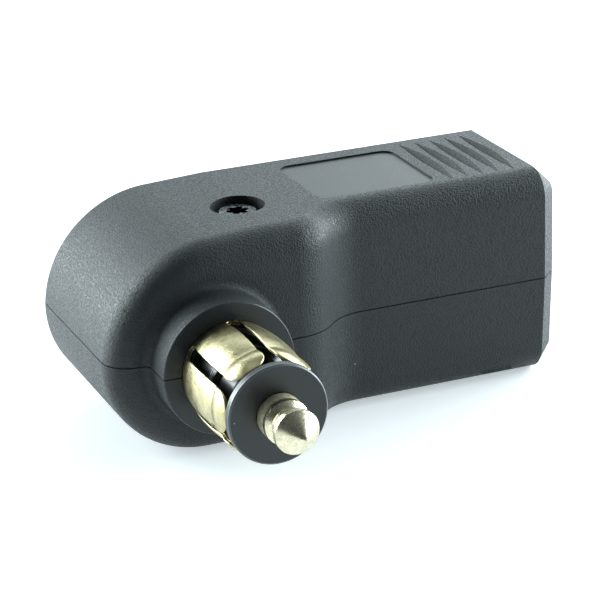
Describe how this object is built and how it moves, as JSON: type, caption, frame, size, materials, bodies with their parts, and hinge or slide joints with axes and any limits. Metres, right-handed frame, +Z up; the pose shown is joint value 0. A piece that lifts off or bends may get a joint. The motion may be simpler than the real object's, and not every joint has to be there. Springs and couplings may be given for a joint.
{
  "type": "right-angle accessory power plug",
  "caption": "Right-angle low-voltage accessory plug: slotted brass sleeve, insulator disc and grooved centre pin on a split moulded housing with a cable inlet.",
  "frame": {"origin": "on the plug's axis, in the front face of the moulded collar", "axes": "+X along the housing to the cable end, -Y out of the plug's tip, +Z up, square to the parting plane"},
  "size_m": [0.0605, 0.052, 0.0262],
  "materials": {
    "housing_plastic": "fine spark-eroded moulded texture, matt black",
    "clamp_plastic": "plain moulded black",
    "insulator_plastic": "satin turned black",
    "sleeve_brass": "bright pale brass sheet",
    "plated_pin": "turned, thin nickel plating",
    "terminal_brass": "stamped brass strip",
    "black_steel": "blackened steel",
    "plated_steel": "zinc plated"
  },
  "bodies": {
    "root": {"cable_clamp": "clamp_plastic", "cable_clamp_screws": "plated_steel", "centre_pin": "plated_pin", "contact_sleeve": "sleeve_brass", "housing_screw": "black_steel", "insulating_washer": "insulator_plastic", "insulator": "insulator_plastic", "lock_washer": "plated_steel", "lower_shell": "housing_plastic", "negative_screw": "plated_steel", "negative_terminal": "terminal_brass", "negative_wire_plate": "plated_steel", "pin_washer": "plated_steel", "positive_screw": "plated_steel", "positive_terminal": "terminal_brass", "positive_wire_plate": "plated_steel", "stud_nut": "plated_steel", "upper_shell": "housing_plastic"}
  },
  "joints": []
}
